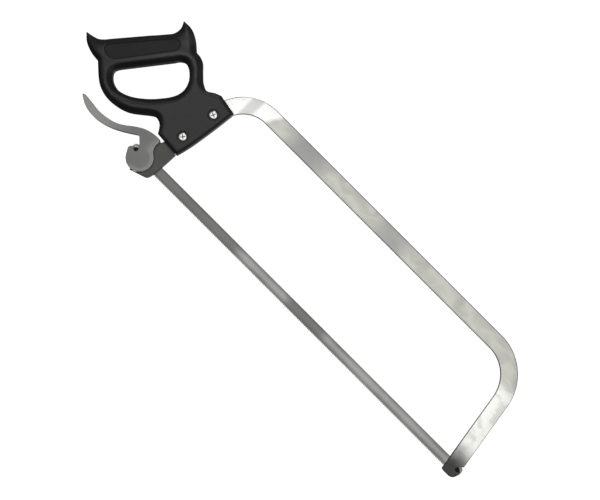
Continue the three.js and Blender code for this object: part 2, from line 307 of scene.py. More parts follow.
def pinAt(name, ends, place):      # a pin with two like ends, from (radius, y) pairs that start on its axis
    return turned(name, [(r, -y) for r, y in ends] + ends[::-1], place)


def clearHole(place, radius):      # a cutter for a hole right through, with room round the pin
    return rod(place, radius + gap, -20, 20)


def carve(piece, operation, *tools):      # cuts with, joins or keeps the common part of other solids
    for tool in tools:
        modifier = piece.modifiers.new("carve", "BOOLEAN")
        modifier.solver = "MANIFOLD"
        modifier.operation = operation
        modifier.object = tool
        settle(piece)
        bpy.data.objects.remove(tool)
    return piece


def settle(piece):      # what the modifiers show becomes the piece's own mesh
    graph = bpy.context.evaluated_depsgraph_get()
    mesh = bpy.data.meshes.new_from_object(piece.evaluated_get(graph))
    piece.modifiers.clear()
    old, piece.data = piece.data, mesh
    mesh.name = piece.name
    bpy.data.meshes.remove(old)


def moulded(name, loops, relief, rings, spacing, low=None, seam=0.0, ridges=(), clearOf=0.0, soften=0):
    # A body with the outlines' sides and a face whose half thickness is relief(points, distance to
    # the edge). rings are distances inside the edge with a row of points each; ridges are further
    # points, with the grid held clear of them. Both faces alike, or flat at y = low with a seam.
    rows = [loop + inward(loop) * ring for ring in rings for loop in loops]
    rowRings = np.concatenate([np.full(len(loop), ring) for ring in rings for loop in loops])
    rows = np.concatenate(rows)
    reach = edgeDistance(rows, loops)
    rows = rows[(reach > rowRings * 0.97) & isInside(rows, loops)]
    lowest, highest = loops[0].min(0), loops[0].max(0)
    rise = spacing * math.sqrt(0.75)
    grid = [(x + (row % 2) * spacing / 2, lowest[1] + row * rise)
            for row in range(int((highest[1] - lowest[1]) / rise) + 1)
            for x in np.arange(lowest[0], highest[0], spacing)]
    grid = np.array(grid)
    grid = grid[isInside(grid, loops)]
    grid = grid[edgeDistance(grid, loops) > rings[-1] + spacing * 0.5]
    extra = [rows, grid]
    if len(ridges):
        ridges = ridges[edgeDistance(ridges, loops) > rings[-1] + 0.2]
        extra = [rows, grid[nearestPoint(grid, ridges) > clearOf], ridges]
    places, faces, rims = fill(loops, extra)
    distance = edgeDistance(places, loops)
    for rim in rims:
        distance[rim] = 0
    half = relief(places, distance)
    half = softened(half, faces, distance > rings[-1] * 0.6, soften)
    if low is None:
        return stack(name, places, faces, rims, [(places, -half), (places, half)])
    shifted = places.copy()
    for rim in rims:
        shifted[rim] += inward(places[rim]) * seam
    return stack(name, places, faces, rims, [(shifted, low), (places, low + seam * 1.3), (places, half)])


def softened(values, faces, free, times):      # evens out a value over neighbouring points
    edges = np.concatenate([faces[:, (0, 1)], faces[:, (1, 2)], faces[:, (2, 0)]])
    for _ in range(times):
        total, count = np.zeros(len(values)), np.zeros(len(values))
        for a, b in (edges.T, edges.T[::-1]):
            np.add.at(total, a, values[b])
            np.add.at(count, a, 1)
        values = np.where(free, 0.5 * values + 0.5 * total / np.maximum(count, 1), values)
    return values


def edgeDrop(distance, width, depth):      # a quarter round of that width and depth along the edge
    return depth * (1 - np.sqrt(1 - (1 - np.clip(distance / width, 0, 1)) ** 2))


def eased(half, width, depth):      # the relief of a flat plate with rounded edges
    return lambda points, distance: half - edgeDrop(distance, width, depth)


def roundRings(width, steps):      # distances inside the edge that share a quarter round evenly
    return [width * (1 - math.cos(math.pi / 2 * i / steps)) for i in range(1, steps + 1)]


# Node graphs.

class Signal:      # one socket; sums and products of signals add their Math nodes
    def __init__(self, graph, socket):
        self.graph, self.socket = graph, socket

    def __add__(self, other):
        return self.graph.maths("ADD", self, other)

    def __sub__(self, other):
        return self.graph.maths("SUBTRACT", self, other)

    def __rsub__(self, other):
        return self.graph.maths("SUBTRACT", other, self)

    def __mul__(self, other):
        return self.graph.maths("MULTIPLY", self, other)

    def __truediv__(self, other):
        return self.graph.maths("DIVIDE", self, other)

    __radd__ = __add__
    __rmul__ = __mul__


class Graph:
    def __init__(self, tree):
        self.tree = tree

    def node(self, kind, settings=(), inputs=(), output=0):
        made = self.tree.nodes.new(kind)
        for key, value in dict(settings).items():
            setattr(made, key, value)
        for key, value in dict(inputs).items():
            socket = self.pick(made.inputs, key)
            if isinstance(value, Signal):
                self.tree.links.new(value.socket, socket)
            else:
                socket.default_value = value
        if isinstance(output, tuple):
            return [Signal(self, self.pick(made.outputs, key)) for key in output]
        return Signal(self, self.pick(made.outputs, output))

    def pick(self, sockets, key):
        if isinstance(key, int):
            return sockets[key]
        exact = [socket for socket in sockets if socket.identifier == key]
        return (exact + [socket for socket in sockets if socket.name == key])[0]

    def maths(self, operation, first, second=0.0):
        return self.node("ShaderNodeMath", {"operation": operation}, {0: first, 1: second})

    def split(self, vector):
        return self.node("ShaderNodeSeparateXYZ", {}, {0: vector}, ("X", "Y", "Z"))

    def ramp(self, value, low, high):      # 0 below low to 1 above high
        return self.node("ShaderNodeMapRange", {"interpolation_type": "SMOOTHSTEP"},
                         {"Value": value, "From Min": low, "From Max": high}, "Result")


# Shapes that repeat or follow a line, as Geometry Nodes.

def nodeGroup(name, build, **inputs):      # inputs are the labels of the sockets of each kind
    tree = bpy.data.node_groups.new(name, "GeometryNodeTree")
    sockets = [(label, kind) for kind, labels in inputs.items() for label in labels.split()]
    for label, kind in [("Geometry", "Geometry"), *sockets, ("Material", "Material")]:
        tree.interface.new_socket(label, in_out="INPUT", socket_type="NodeSocket" + kind)
    tree.interface.new_socket("Geometry", in_out="OUTPUT", socket_type="NodeSocketGeometry")
    graph = Graph(tree)
    entry = tree.nodes.new("NodeGroupInput")
    given = {socket.name: Signal(graph, socket) for socket in entry.outputs if socket.name}
    shape = build(graph, given)
    shape = graph.node("GeometryNodeRealizeInstances", {}, {"Geometry": shape})
    shape = graph.node("GeometryNodeSetMaterial", {}, {"Geometry": shape, "Material": given["Material"]})
    result = tree.nodes.new("NodeGroupOutput")
    tree.links.new(shape.socket, result.inputs[0])
    return tree


def grow(piece, tree, values):      # runs the tree on the piece and keeps the result as a plain mesh
    modifier = piece.modifiers.new("nodes", "NODES")
    modifier.node_group = tree
    for item in tree.interface.items_tree:
        if item.in_out == "INPUT" and item.name in values:
            modifier[item.identifier] = values[item.name]
    settle(piece)
    return piece


def sweepNodes(graph, given):      # a rounded bar along the line
    line = graph.node("GeometryNodeMeshToCurve", {}, {"Mesh": given["Geometry"]})
    line = graph.node("GeometryNodeSetCurveNormal", {"mode": "Z_UP"}, {"Curve": line})
    section = graph.node("GeometryNodeCurvePrimitiveQuadrilateral", {"mode": "RECTANGLE"},
                         {"Width": given["Width"], "Height": given["Thickness"]})
    section = graph.node("GeometryNodeFilletCurve", {"mode": "POLY"},
                         {"Curve": section, "Count": given["Steps"], "Radius": given["Edge"]})
    return graph.node("GeometryNodeCurveToMesh", {},
                      {"Curve": line, "Profile Curve": section, "Fill Caps": True})


def toothNodes(graph, given):      # draws every chosen face of the edge down into a tooth, set in turn
    x, _, _ = graph.split(graph.node("GeometryNodeInputPosition"))
    _, _, facing = graph.split(graph.node("GeometryNodeInputNormal"))
    chosen = graph.maths("LESS_THAN", facing, -0.9)
    chosen = chosen * graph.maths("GREATER_THAN", x, given["Start"])
    chosen = chosen * graph.maths("LESS_THAN", x, given["End"])
    down = graph.node("ShaderNodeCombineXYZ", {}, {"Z": given["Depth"] * -1})
    mesh, tips = graph.node("GeometryNodeExtrudeMesh", {"mode": "FACES"},
                            {"Mesh": given["Geometry"], "Selection": chosen, "Offset": down,
                             "Offset Scale": 1.0, "Individual": True}, ("Mesh", "Top"))
    mesh = graph.node("GeometryNodeScaleElements", {"domain": "FACE", "scale_mode": "SINGLE_AXIS"},
                      {"Geometry": mesh, "Selection": tips, "Scale": given["Tip"], "Axis": (1, 0, 0)})
    number = graph.maths("FLOOR", (x - given["Start"]) / given["Pitch"])
    side = 1 - 2 * graph.maths("MODULO", number, 2.0)
    lean = graph.node("ShaderNodeCombineXYZ", {}, {"X": given["Rake"], "Y": given["Set"] * side})
    return graph.node("GeometryNodeSetPosition", {},
                      {"Geometry": mesh, "Selection": tips, "Offset": lean})


def rowNodes(graph, given):      # copies of the piece in a row, each turned by its own amount
    row = graph.node("GeometryNodeMeshLine", {"mode": "OFFSET"},
                     {"Count": given["Count"], "Start Location": given["First"], "Offset": given["Step"]})
    turn = graph.node("FunctionNodeRandomValue", {"data_type": "FLOAT"},
                      {"Min_001": 0.0, "Max_001": given["Turn"], "Seed": given["Seed"]}, "Value_001")
    turn = graph.node("ShaderNodeCombineXYZ", {}, {"Y": turn})
    turn = graph.node("FunctionNodeEulerToRotation", {}, {0: turn})
    return graph.node("GeometryNodeInstanceOnPoints", {},
                      {"Points": row, "Instance": given["Geometry"], "Rotation": turn})


sweepTree = nodeGroup("bar along a line", sweepNodes, Float="Width Thickness Edge", Int="Steps")
toothTree = nodeGroup("row of saw teeth", toothNodes, Float="Start End Pitch Depth Tip Rake Set")
rowTree = nodeGroup("row of fasteners", rowNodes, Int="Count Seed", Vector="First Step", Float="Turn")


# Finishes.

class Finish(Graph):
    def __init__(self, name, fixed):      # fixed values go on the shader's own sockets
        self.material = bpy.data.materials.new(name)
        self.material.use_nodes = True
        super().__init__(self.material.node_tree)
        self.shader = self.tree.nodes["Principled BSDF"]
        for key, value in fixed.items():
            self.shader.inputs[key].default_value = value
        coordinate = self.node("ShaderNodeTexCoord", {}, {}, "Object")
        shift = [-1000 * value for value in origin]
        self.place = self.node("ShaderNodeVectorMath", {"operation": "MULTIPLY_ADD"},
                               {0: coordinate, 1: (1000, 1000, 1000), 2: shift})
        self.x, self.y, self.z = self.split(self.place)      # millimetres from the rear blade pin

    def noise(self, size, stretch=(1, 1, 1), detail=2.0, rough=0.5, warp=0.0):
        # even noise from 0 to 1, with lumps about size millimetres, longer by stretch
        scaled = self.node("ShaderNodeVectorMath", {"operation": "MULTIPLY"},
                           {0: self.place, 1: [1 / (size * s) for s in stretch]})
        return self.node("ShaderNodeTexNoise", {},
                         {"Vector": scaled, "Scale": 1.0, "Detail": detail, "Roughness": rough,
                          "Distortion": warp}, "Fac")

    def band(self, value, middle, half, soft):      # 1 near the middle value, 0 away from it
        off = self.maths("ABSOLUTE", value - middle)
        return 1 - self.ramp(off, half, half + soft)

    def mix(self, share, first, second):      # colours; numbers in brackets are fixed
        return self.node("ShaderNodeMix", {"data_type": "RGBA"},
                         {"Factor_Float": share, "A_Color": first, "B_Color": second}, "Result_Color")

    def attribute(self, name):
        return self.node("ShaderNodeAttribute", {"attribute_name": name}, {}, "Fac")

    def finish(self, colour, roughness, height, depth, strength=1.0):      # depth in millimetres
        bump = self.node("ShaderNodeBump", {},
                         {"Strength": strength, "Distance": depth * mm, "Height": height})
        for key, value in (("Base Color", colour), ("Roughness", roughness), ("Normal", bump)):
            self.tree.links.new(value.socket, self.shader.inputs[key])
        return self.material


def grey(level, warmth=0.0):
    return (level, level, level * (1 - 2 * warmth), 1)


def blackPlastic():
    f = Finish("black plastic", {"Metallic": 0.0, "IOR": 1.54})
    cloud = f.noise(28, detail=3)
    paintedHighlight = f.attribute("paintedHighlight")
    panel = f.attribute("panel")
    colour = f.mix(cloud, grey(0.010), grey(0.017))
    # Painted highlight: the crest beside the opening, the upper horn and the neck made lighter, broken by
    # noise.
    colour = f.mix(paintedHighlight * f.ramp(f.noise(3, detail=4), 0.1, 0.6), colour, grey(0.048))
    fine = f.noise(0.4, detail=2)
    pores = f.noise(1.6, detail=3, rough=0.6)
    wall = f.band(panel, 0.5, 0.25, 0.25)
    roughness = 0.36 + 0.10 * cloud + 0.08 * f.ramp(pores, 0.35, 0.7) + 0.22 * panel - 0.05 * paintedHighlight
    roughness = roughness + 0.45 * wall
    return f.finish(colour, roughness, fine * (0.5 + panel) + pores * 0.6, 0.07, 0.45)


def brightSteel():
    f = Finish("bright bow steel", {"Metallic": 1.0})
    cloud = f.noise(24, stretch=(1, 1, 0.7), detail=2, rough=0.5, warp=0.5)
    stain = f.noise(9, detail=3, rough=0.6)
    lines = f.noise(0.5, stretch=(40, 1, 1), detail=3)
    rear = 1 - f.ramp(f.x - 0.6 * f.z + 4 * cloud, 5, 14)      # painted reflection: the bend out of the handle made near white
    # painted reflection: a dark streak on the upper rear bend
    streak = f.band(f.x, 63, 4, 6) * f.ramp(f.z, 100, 112)
    # painted reflection: the front leg made bright, above the foot
    leg = f.ramp(f.x, 488, 504) * (1 - f.ramp(f.z, 98, 126))
    # painted reflection: two dark bands across the spine
    paintedDarkReflection = f.band(f.x, 150, 6, 38) + 0.8 * f.band(f.x, 292, 6, 34)
    foot = f.band(f.x, 540, 14, 8) * (1 - f.ramp(f.z, -2, 38))
    colour = f.mix(f.ramp(cloud, 0.35, 0.7), grey(0.55, 0.045), grey(0.475, 0.04))
    colour = f.mix(paintedDarkReflection, colour, grey(0.34, 0.01))
    colour = f.mix(leg * (1 - 0.35 * f.ramp(cloud, 0.5, 0.62)), colour, grey(0.90, 0.025))
    colour = f.mix(rear, colour, grey(0.97, 0.005))
    # random stains, with the painted dark streak
    colour = f.mix(f.ramp(stain, 0.58, 0.8) * 0.25 + streak * 0.55, colour, grey(0.42, 0.02))
    colour = f.mix(foot * 0.97, colour, grey(0.065, 0.02))
    roughness = 0.24 + 0.12 * cloud + 0.06 * lines + 0.16 * foot
    return f.finish(colour, roughness, lines * 0.4 + stain * 0.6, 0.04, 0.2)


def bladeSteel():
    f = Finish("blade steel", {"Metallic": 1.0})
    streak = f.noise(0.7, stretch=(60, 1, 1), detail=4)
    patch = f.noise(60, detail=3)
    stripe = f.band(f.z, -0.2, 1.0, 1.8)
    edges = f.band(f.z, 4.6, 0.4, 1.0) + f.band(f.z, -5.4, 0.8, 1.2)
    # painted reflection: two dark bands along the blade
    paintedDarkReflection = f.band(f.x, 100, 60, 25) + f.band(f.x, 288, 22, 18)
    colour = f.mix(f.ramp(patch, 0.35, 0.7), grey(0.43, 0.01), grey(0.33, 0.01))
    colour = f.mix(stripe * f.ramp(streak, 0.2, 0.7), colour, grey(0.50, 0.01))
    colour = f.mix(paintedDarkReflection * 0.85, colour, grey(0.20, 0.01))
    colour = f.mix(edges * 0.45, colour, grey(0.15, 0.02))
    roughness = 0.34 + 0.16 * streak + 0.1 * patch
    return f.finish(colour, roughness, streak, 0.03, 0.4)


def leverCasting():
    f = Finish("grey lever casting", {"Metallic": 0.45})
    cloud = f.noise(16, detail=3)
    grit = f.noise(0.8, detail=4, rough=0.7)
    colour = f.mix(cloud, grey(0.29, 0.01), grey(0.37, 0.01))
    colour = f.mix(1 - f.ramp(f.x, -60, -10), colour, grey(0.54, 0.01))
    colour = f.mix(f.ramp(grit, 0.55, 0.75) * 0.5, colour, grey(0.30, 0.01))
    # painted highlight on the disc's band and the rounded edges
    colour = f.mix(f.attribute("paintedHighlight"), colour, grey(0.52, 0.03))
    roughness = 0.50 + 0.16 * grit
    return f.finish(colour, roughness, grit + f.noise(4, detail=2) * 0.8, 0.1, 0.4)


def blockIron():
    f = Finish("dark block iron", {"Metallic": 0.7})
    cloud = f.noise(12, detail=3)
    grit = f.noise(0.9, detail=4, rough=0.7)
    colour = f.mix(cloud, grey(0.10, 0.05), grey(0.165, 0.05))
    # painted highlight along the rounded edges
    colour = f.mix(f.attribute("paintedHighlight"), colour, grey(0.34, 0.03))
    roughness = 0.46 + 0.18 * grit
    return f.finish(colour, roughness, grit, 0.12, 0.5)


def pinSteel():
    f = Finish("oiled pin steel", {"Metallic": 1.0})
    lines = f.noise(0.3, detail=3)
    colour = f.mix(lines, grey(0.012, 0.03), grey(0.035, 0.03))
    return f.finish(colour, 0.42 + 0.2 * lines, lines, 0.02, 0.4)


def nickel():
    f = Finish("nickel plate", {"Metallic": 1.0})
    scuff = f.noise(1.4, detail=4, rough=0.65)
    depth = f.maths("ABSOLUTE", f.y)
    colour = f.mix(f.ramp(scuff, 0.5, 0.75), grey(0.86, 0.015), grey(0.52, 0.02))
    colour = f.mix(f.ramp(depth, 9.6, 10.1), grey(0.05, 0.02), colour)      # painted shade low in the recesses and slots, and on the heads' sides
    return f.finish(colour, 0.16 + 0.22 * scuff, scuff, 0.03, 0.4)


finishes = {
    "black_handle": blackPlastic(), "bright_steel": brightSteel(), "blade_steel": bladeSteel(),
    "lever_casting": leverCasting(), "block_iron": blockIron(), "pin_steel": pinSteel(),
    "nickel_screws": nickel(),
}
print("finishes made,", len(finishes))


def store(piece, name, values):      # a value for each vertex, for the finish to read
    attribute = piece.data.attributes.new(name, "FLOAT", "POINT")
    attribute.data.foreach_set("value", np.asarray(values, np.float32))


def vertexPlaces(piece):      # millimetres from the rear blade pin
    places = np.empty(len(piece.data.vertices) * 3, np.float32)
    piece.data.vertices.foreach_get("co", places)
    return (places.reshape(-1, 3) - np.array(origin)) / mm


def fit(piece, body, slot, *nodes, sharp=32):      # finish, body and the CAD nodes that it stands for
    piece.data.shade_smooth()
    piece.data.set_sharp_from_angle(angle=math.radians(sharp))
    piece.data.materials.clear()
    piece.data.materials.append(finishes[slot])
    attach(piece, body)
    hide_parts(*nodes)
    return piece


# The bar that makes the bow, and what it is held by.

bow = {
    "width": 21, "thickness": 6, "edge": 1.1, "edgeSteps": 5,
    "spineHeight": 142, "rearRadius": 48.5, "frontRadius": 55.5,
    "tangLean": 9.6, "legLean": 9.4, "tangBelowScrew": 17, "tangAhead": 1.3,
    "lowerScrew": (30, 50), "legFoot": (540.3, 0), "frontPin": (546, 0.5),
    "slitHalf": 0.65, "slitTop": 14,      # where the foot holds the blade
}
screwSpacing = 45
rivetBelowScrew = 11
pinRadius = 2.4
barrelRadius = 3
tongueHalf = 5.5      # half thickness of the block's tongue, which lies in the handle


def leaning(start, degrees, rise, side):      # up a line that leans ahead by degrees, and across it
    s, c = math.sin(math.radians(degrees)), math.cos(math.radians(degrees))
    return np.array((start[0] + rise * s + side * c, start[1] + rise * c - side * s))


def onTang(rise, side=0.0):
    return leaning(bow["lowerScrew"], bow["tangLean"], rise, side)


def onLeg(rise, side=0.0):
    return leaning(bow["legFoot"], -bow["legLean"], rise, side)


lowerScrew, upperScrew = onTang(0), onTang(screwSpacing)
rivetPlace = onTang(-rivetBelowScrew)


def barCentres():      # centres of the two bends
    rear, front = bow["rearRadius"], bow["frontRadius"]
    reach = rear + bow["tangAhead"]
    lean = math.radians(bow["tangLean"])
    leg = math.radians(bow["legLean"])
    rearRise = (bow["spineHeight"] - rear - bow["lowerScrew"][1] + reach * math.sin(lean)) / math.cos(lean)
    frontRise = (bow["spineHeight"] - front + front * math.sin(leg)) / math.cos(leg)
    return onTang(rearRise, reach), onLeg(frontRise, -front)


def barLine(tangEnd, legEnd):      # the bar's centre line, from the tang to the foot
    rearCentre, frontCentre = barCentres()
    line = Outline(*onTang(tangEnd, bow["tangAhead"]))
    line.arc(rearCentre, bow["rearRadius"], 180 - bow["tangLean"], 90, step=1.5)
    line.line((frontCentre[0] - 1, bow["spineHeight"]))
    line.arc(frontCentre, bow["frontRadius"], 90, bow["legLean"], step=1.5)
    line.line(onLeg(legEnd))
    return np.array(line.points)


def barOutline(room):      # the tang's and rear bend's outline, for the pockets that hold them
    rearCentre, _ = barCentres()
    half = bow["width"] / 2 + room
    end, ahead = -bow["tangBelowScrew"] - room, bow["tangAhead"]
    pocket = Outline(*onTang(end, ahead - half))
    pocket.arc(rearCentre, bow["rearRadius"] + half, 180 - bow["tangLean"], 90)
    pocket.arc(rearCentre, bow["rearRadius"] - half, 90, 180 - bow["tangLean"])
    pocket.line(onTang(end, ahead + half))
    return pocket.closed(6)


# The handle's two halves.

handle = {
    "grip": 13, "socket": 11, "taper": (-22, 4),      # half thickness, and where it changes
    "roundWidth": 8.5, "roundDepth": 9.5, "socketWidth": 5.2, "socketDepth": 3.6,
    "hornDepth": 5.5, "panelDepth": 1.2, "panelWall": 1.6, "shoulder": 0.3,
    "counterbore": 6.8, "counterboreFloor": 8.2, "lip": 0.7,
    "peg": 2.5, "pegLength": 4.5, "seam": 0.3, "spacing": 1.5,
    # how far the crest's painted highlight lies from the opening, and the centres of the painted highlights
    # on the horn and the neck
    "crestAway": 9.5, "hornHighlight": (-47, 137), "neckHighlight": (-14, 112),
}
pegPlaces = [(-50, 132), (-112, 51), (-62, 27)]


def handleOutline():
    shape = Outline(39.8, 28.8)
    shape.through((44.9, 50), (50.2, 84), (53.6, 112.7))
    shape.line((28, 117.4)).through((20.5, 114.6), (10.5, 109.2), (0, 113.8))
    shape.through((-8, 121.6), (-16, 129.4), (-23, 132.7), (-30.5, 133.4))      # knuckle
    shape.through((-41, 142.4), (-50, 147.6), (-58, 149.7), (-68.6, 149.4))      # upper horn
    shape.through((-65.2, 142.5), (-64.8, 136.5), (-66.6, 130.2), (-70.5, 125))
    shape.line((-120, 66.6)).through((-125.5, 62), (-132, 59.6), (-142.4, 57.6))      # rear horn
    shape.through((-135, 50.3), (-127, 46), (-118, 43.4), (-107.5, 42.3))
    shape.through((-96, 31.6), (-86, 24), (-76, 19.9), (-65, 18.3), (-54, 19.2), (-44, 21.8),
                  (-34, 26.6), (-18, 39))      # guard below the fingers
    shape.through((-11, 43.4), (-4, 42.4), (1, 38.4), (5.8, 31.2))
    return shape.closed(1.1)


def openingOutline():
    shape = Outline(-41, 105.6)
    shape.through((-37, 111.2), (-31, 114.8), (-24.5, 113.3), (-18.5, 109), (-12.6, 101.5), (-9.7, 92),
                  (-10.6, 82.6), (-14.8, 73.6), (-21.5, 64.6), (-31.5, 53.6), (-44, 43.4), (-55, 37.4),
                  (-66, 34.8), (-76, 37.4), (-82.6, 43.4), (-84, 48.6), (-81.2, 54.2))
    return shape.closed(1.1, sharp=60)[::-1]


def panelOutline():
    shape = Outline(-62, 124.5)
    shape.bend((-58.4, 129), (-53, 128)).bend((-44.5, 124.4), (-49, 116.6)).line((-90, 62.4))
    shape.bend((-96, 54), (-105, 55.6)).bend((-115, 58.6), (-110.6, 66.2))
    return shape.closed(1.1)


panel = panelOutline()


def inPanel(points):      # depth inside the grip's panel, negative outside
    away = edgeDistance(points, [panel])
    return np.where(isInside(points, [panel]), away, -away)


def handleRelief(points, distance):
    x = points[:, 0]
    towardSocket = smooth(*handle["taper"], x)
    half = handle["grip"] + (handle["socket"] - handle["grip"]) * towardSocket
    for base, tip in (((-50, 136), (-68.6, 149.4)), ((-118, 55), (-142.4, 57.6))):
        way = np.array(tip) - np.array(base)
        share = ((points - base) @ way) / (way @ way)
        near = 1 - smooth(24, 46, np.linalg.norm(points - base, axis=1))
        half = half - handle["hornDepth"] * near * smooth(-0.25, 1, share)
    onSocket = smooth(-8, 14, x)
    width = handle["roundWidth"] + (handle["socketWidth"] - handle["roundWidth"]) * onSocket
    depth = handle["roundDepth"] + (handle["socketDepth"] - handle["roundDepth"]) * onSocket
    depth = np.minimum(depth, half - 2.2)
    wall = handle["panelWall"]
    sunk = handle["panelDepth"] * smooth(-wall / 2, wall / 2, inPanel(points))
    straight = handle["shoulder"] * depth * (1 - smooth(0, 1, distance / width))
    return half - (1 - handle["shoulder"]) * edgeDrop(distance, width, depth) - straight - sunk


def pegTool(side, room):
    length = handle["pegLength"] + room
    ends = (-length, length) if side > 0 else (-length, 1)
    return [rod(place, handle["peg"] + room, *ends) for place in pegPlaces]


def counterboreTool(place, side):
    radius, floor, lip = handle["counterbore"], handle["counterboreFloor"], handle["lip"]
    top = handle["socket"]
    profile = [(0, floor), (radius, floor), (radius, top - lip)]
    for turn in np.radians(np.linspace(15, 75, 5)):
        profile.append((radius + lip * (1 - math.cos(turn)), top - lip + lip * math.sin(turn)))
    profile += [(radius + lip, top), (radius + lip, top + 3), (0, top + 3)]
    return turned("counterbore", [(r, side * y) for r, y in profile], place)


def tonguePocket(room, foot):
    half, top = 9 + room, 12 + room
    return np.array([onTang(foot, -half), onTang(foot, half), onTang(top, half), onTang(top, -half)])


def storeHighlightAndPanel(half):      # painted highlights on the crest beside the opening, the upper horn and the neck, and where the panel is
    flat = vertexPlaces(half)[:, (0, 2)]
    opening = openingOutline()
    offset = flat - opening.mean(axis=0)
    up, ahead = (offset @ (-diagonal, diagonal), offset @ (diagonal, diagonal))
    # Painted highlights: a crest line on the opening's upper side, the upper horn and the neck.
    away = np.abs(edgeDistance(flat, [opening]) - handle["crestAway"])
    crest = (1 - smooth(0.8, 2.6, away)) * smooth(6, 20, up) * smooth(-45, 30, ahead)
    horn = 1 - smooth(2, 13, np.linalg.norm(flat - handle["hornHighlight"], axis=1))
    neck = 0.35 * (1 - smooth(4, 22, np.linalg.norm(flat - handle["neckHighlight"], axis=1)))
    store(half, "paintedHighlight", np.clip(crest + horn + neck, 0, 1))
    store(half, "panel", smooth(-0.8, 0.8, inPanel(flat)))


def makeHandleHalf(name, side):
    loops = [handleOutline(), openingOutline()]
    wall = handle["panelWall"]
    offsets = np.linspace(-wall * 0.55, wall * 0.55, 6)
    ridges = np.concatenate([panel + inward(panel) * offset for offset in offsets])
    half = moulded(name, loops, handleRelief, roundRings(handle["roundWidth"], 7), handle["spacing"],
                   low=gap / 2, seam=handle["seam"], ridges=ridges, clearOf=1.0)
    if side < 0:
        mirror = Matrix.Diagonal((1, -1, 1, 1))
        half.data.transform(Matrix.Translation(origin) @ mirror @ Matrix.Translation(-origin))
        half.data.flip_normals()
    slot = bow["thickness"] / 2 + gap
    carve(half, "DIFFERENCE", prism(barOutline(gap), -slot, slot))
    carve(half, "DIFFERENCE", prism(tonguePocket(gap, -32), -tongueHalf - gap, tongueHalf + gap))
    hollows = [([(-64.4, 119.8), (-105.9, 70.8), (-91.4, 58.6), (-49.9, 107.6)], 9),
               ([(-2, 62), (13, 60), (19, 98), (1, 100)], 7.5)]
    for corners, depth in hollows:
        carve(half, "DIFFERENCE", prism(np.array(corners, float), -depth, depth))
    for place in (lowerScrew, upperScrew):
        carve(half, "DIFFERENCE", clearHole(place, barrelRadius), counterboreTool(place, side))
    if side > 0:
        carve(half, "UNION", *pegTool(side, 0))
    else:
        carve(half, "DIFFERENCE", *pegTool(side, gap))
    storeHighlightAndPanel(half)
    return half


for side, name in ((1, "left"), (-1, "right")):
    half = makeHandleHalf("handle_half_" + name, side)
    fit(half, "saw_frame", "black_handle", "handle_" + name)
print("handle halves made,", len(half.data.polygons), "faces each")


# The bow.

def footTool():      # the form of the bow's foot, wider than the bar above it
    half = bow["width"] / 2
    form = Outline(*onLeg(34, half + 9)).line(onLeg(-2.4, half + 0.02), onLeg(-3, half))
    form.bend((551.3, -11.4), (543, -12.6)).line((534.6, -12.6))
    form.bend((531.8, -12.4), onLeg(-9, -half)).line(onLeg(-8.4, -half - 0.02), onLeg(34, -half - 9))
    edge = bow["edge"]
    relief = eased(bow["thickness"] / 2 + 0.02, edge, edge)
    foot = moulded("foot", [form.closed(0.7)], relief, roundRings(edge, 5), 4.0)
    top = np.array([onLeg(20, -30), onLeg(20, 30), (700, 200), (-100, 200), (-100, 0)], float)
    return carve(foot, "UNION", prism(top, -20, 20))


def notchTool():      # the front pin's seat, open up and forward, with eased edges on both faces
    seat, reach = pinRadius + gap, 12
    pin = np.array(bow["frontPin"])
    side = seat * diagonal
    shape = Outline(*(pin + reach + (-side, side))).arc(pin, seat, 135, 315, step=6)
    shape.line(pin + reach + (side, -side))
    places, faces, rims = fill([shape.closed(0.5)])
    wide = places.copy()
    for rim in rims:
        wide[rim] -= inward(places[rim]) * 0.5
    face = bow["thickness"] / 2
    return stack("notch", places, faces, rims,
                 [(wide, -face - 0.5), (places, 0.6 - face), (places, face - 0.6), (wide, face + 0.5)])


def makeBow():
    line = [(x * mm, z * mm, 0) for x, z in barLine(-bow["tangBelowScrew"], -24)]
    bar = meshObject("bow_bar", line, [(i, i + 1) for i in range(len(line) - 1)], [])
    grow(bar, sweepTree, {"Width": bow["width"] * mm, "Thickness": bow["thickness"] * mm,
                          "Edge": bow["edge"] * mm, "Steps": bow["edgeSteps"],
                          "Material": finishes["bright_steel"]})
    bar.data.transform(Matrix.Translation(origin) @ Matrix.Rotation(math.pi / 2, 4, "X"))
    tidyMesh(bar.data)
    holes = [clearHole(place, barrelRadius) for place in (lowerScrew, upperScrew)]
    slit = prism(rectangle(515, -20, 560, bow["slitTop"]), -bow["slitHalf"], bow["slitHalf"])
    carve(bar, "INTERSECT", footTool())
    carve(bar, "DIFFERENCE", *holes, clearHole(rivetPlace, pinRadius), slit, notchTool())
    return fit(bar, "saw_frame", "bright_steel", "frame_bow", sharp=28)


bowPiece = makeBow()
print("bow made,", len(bowPiece.data.polygons), "faces")


# The tension block.

block = {
    "half": 6.5, "edgeWidth": 0.8, "edgeDepth": 0.8, "slotHalf": 1.1, "slotTop": 7.4,
    "camCentre": (10.7, -4.3), "camRadius": 17,
}


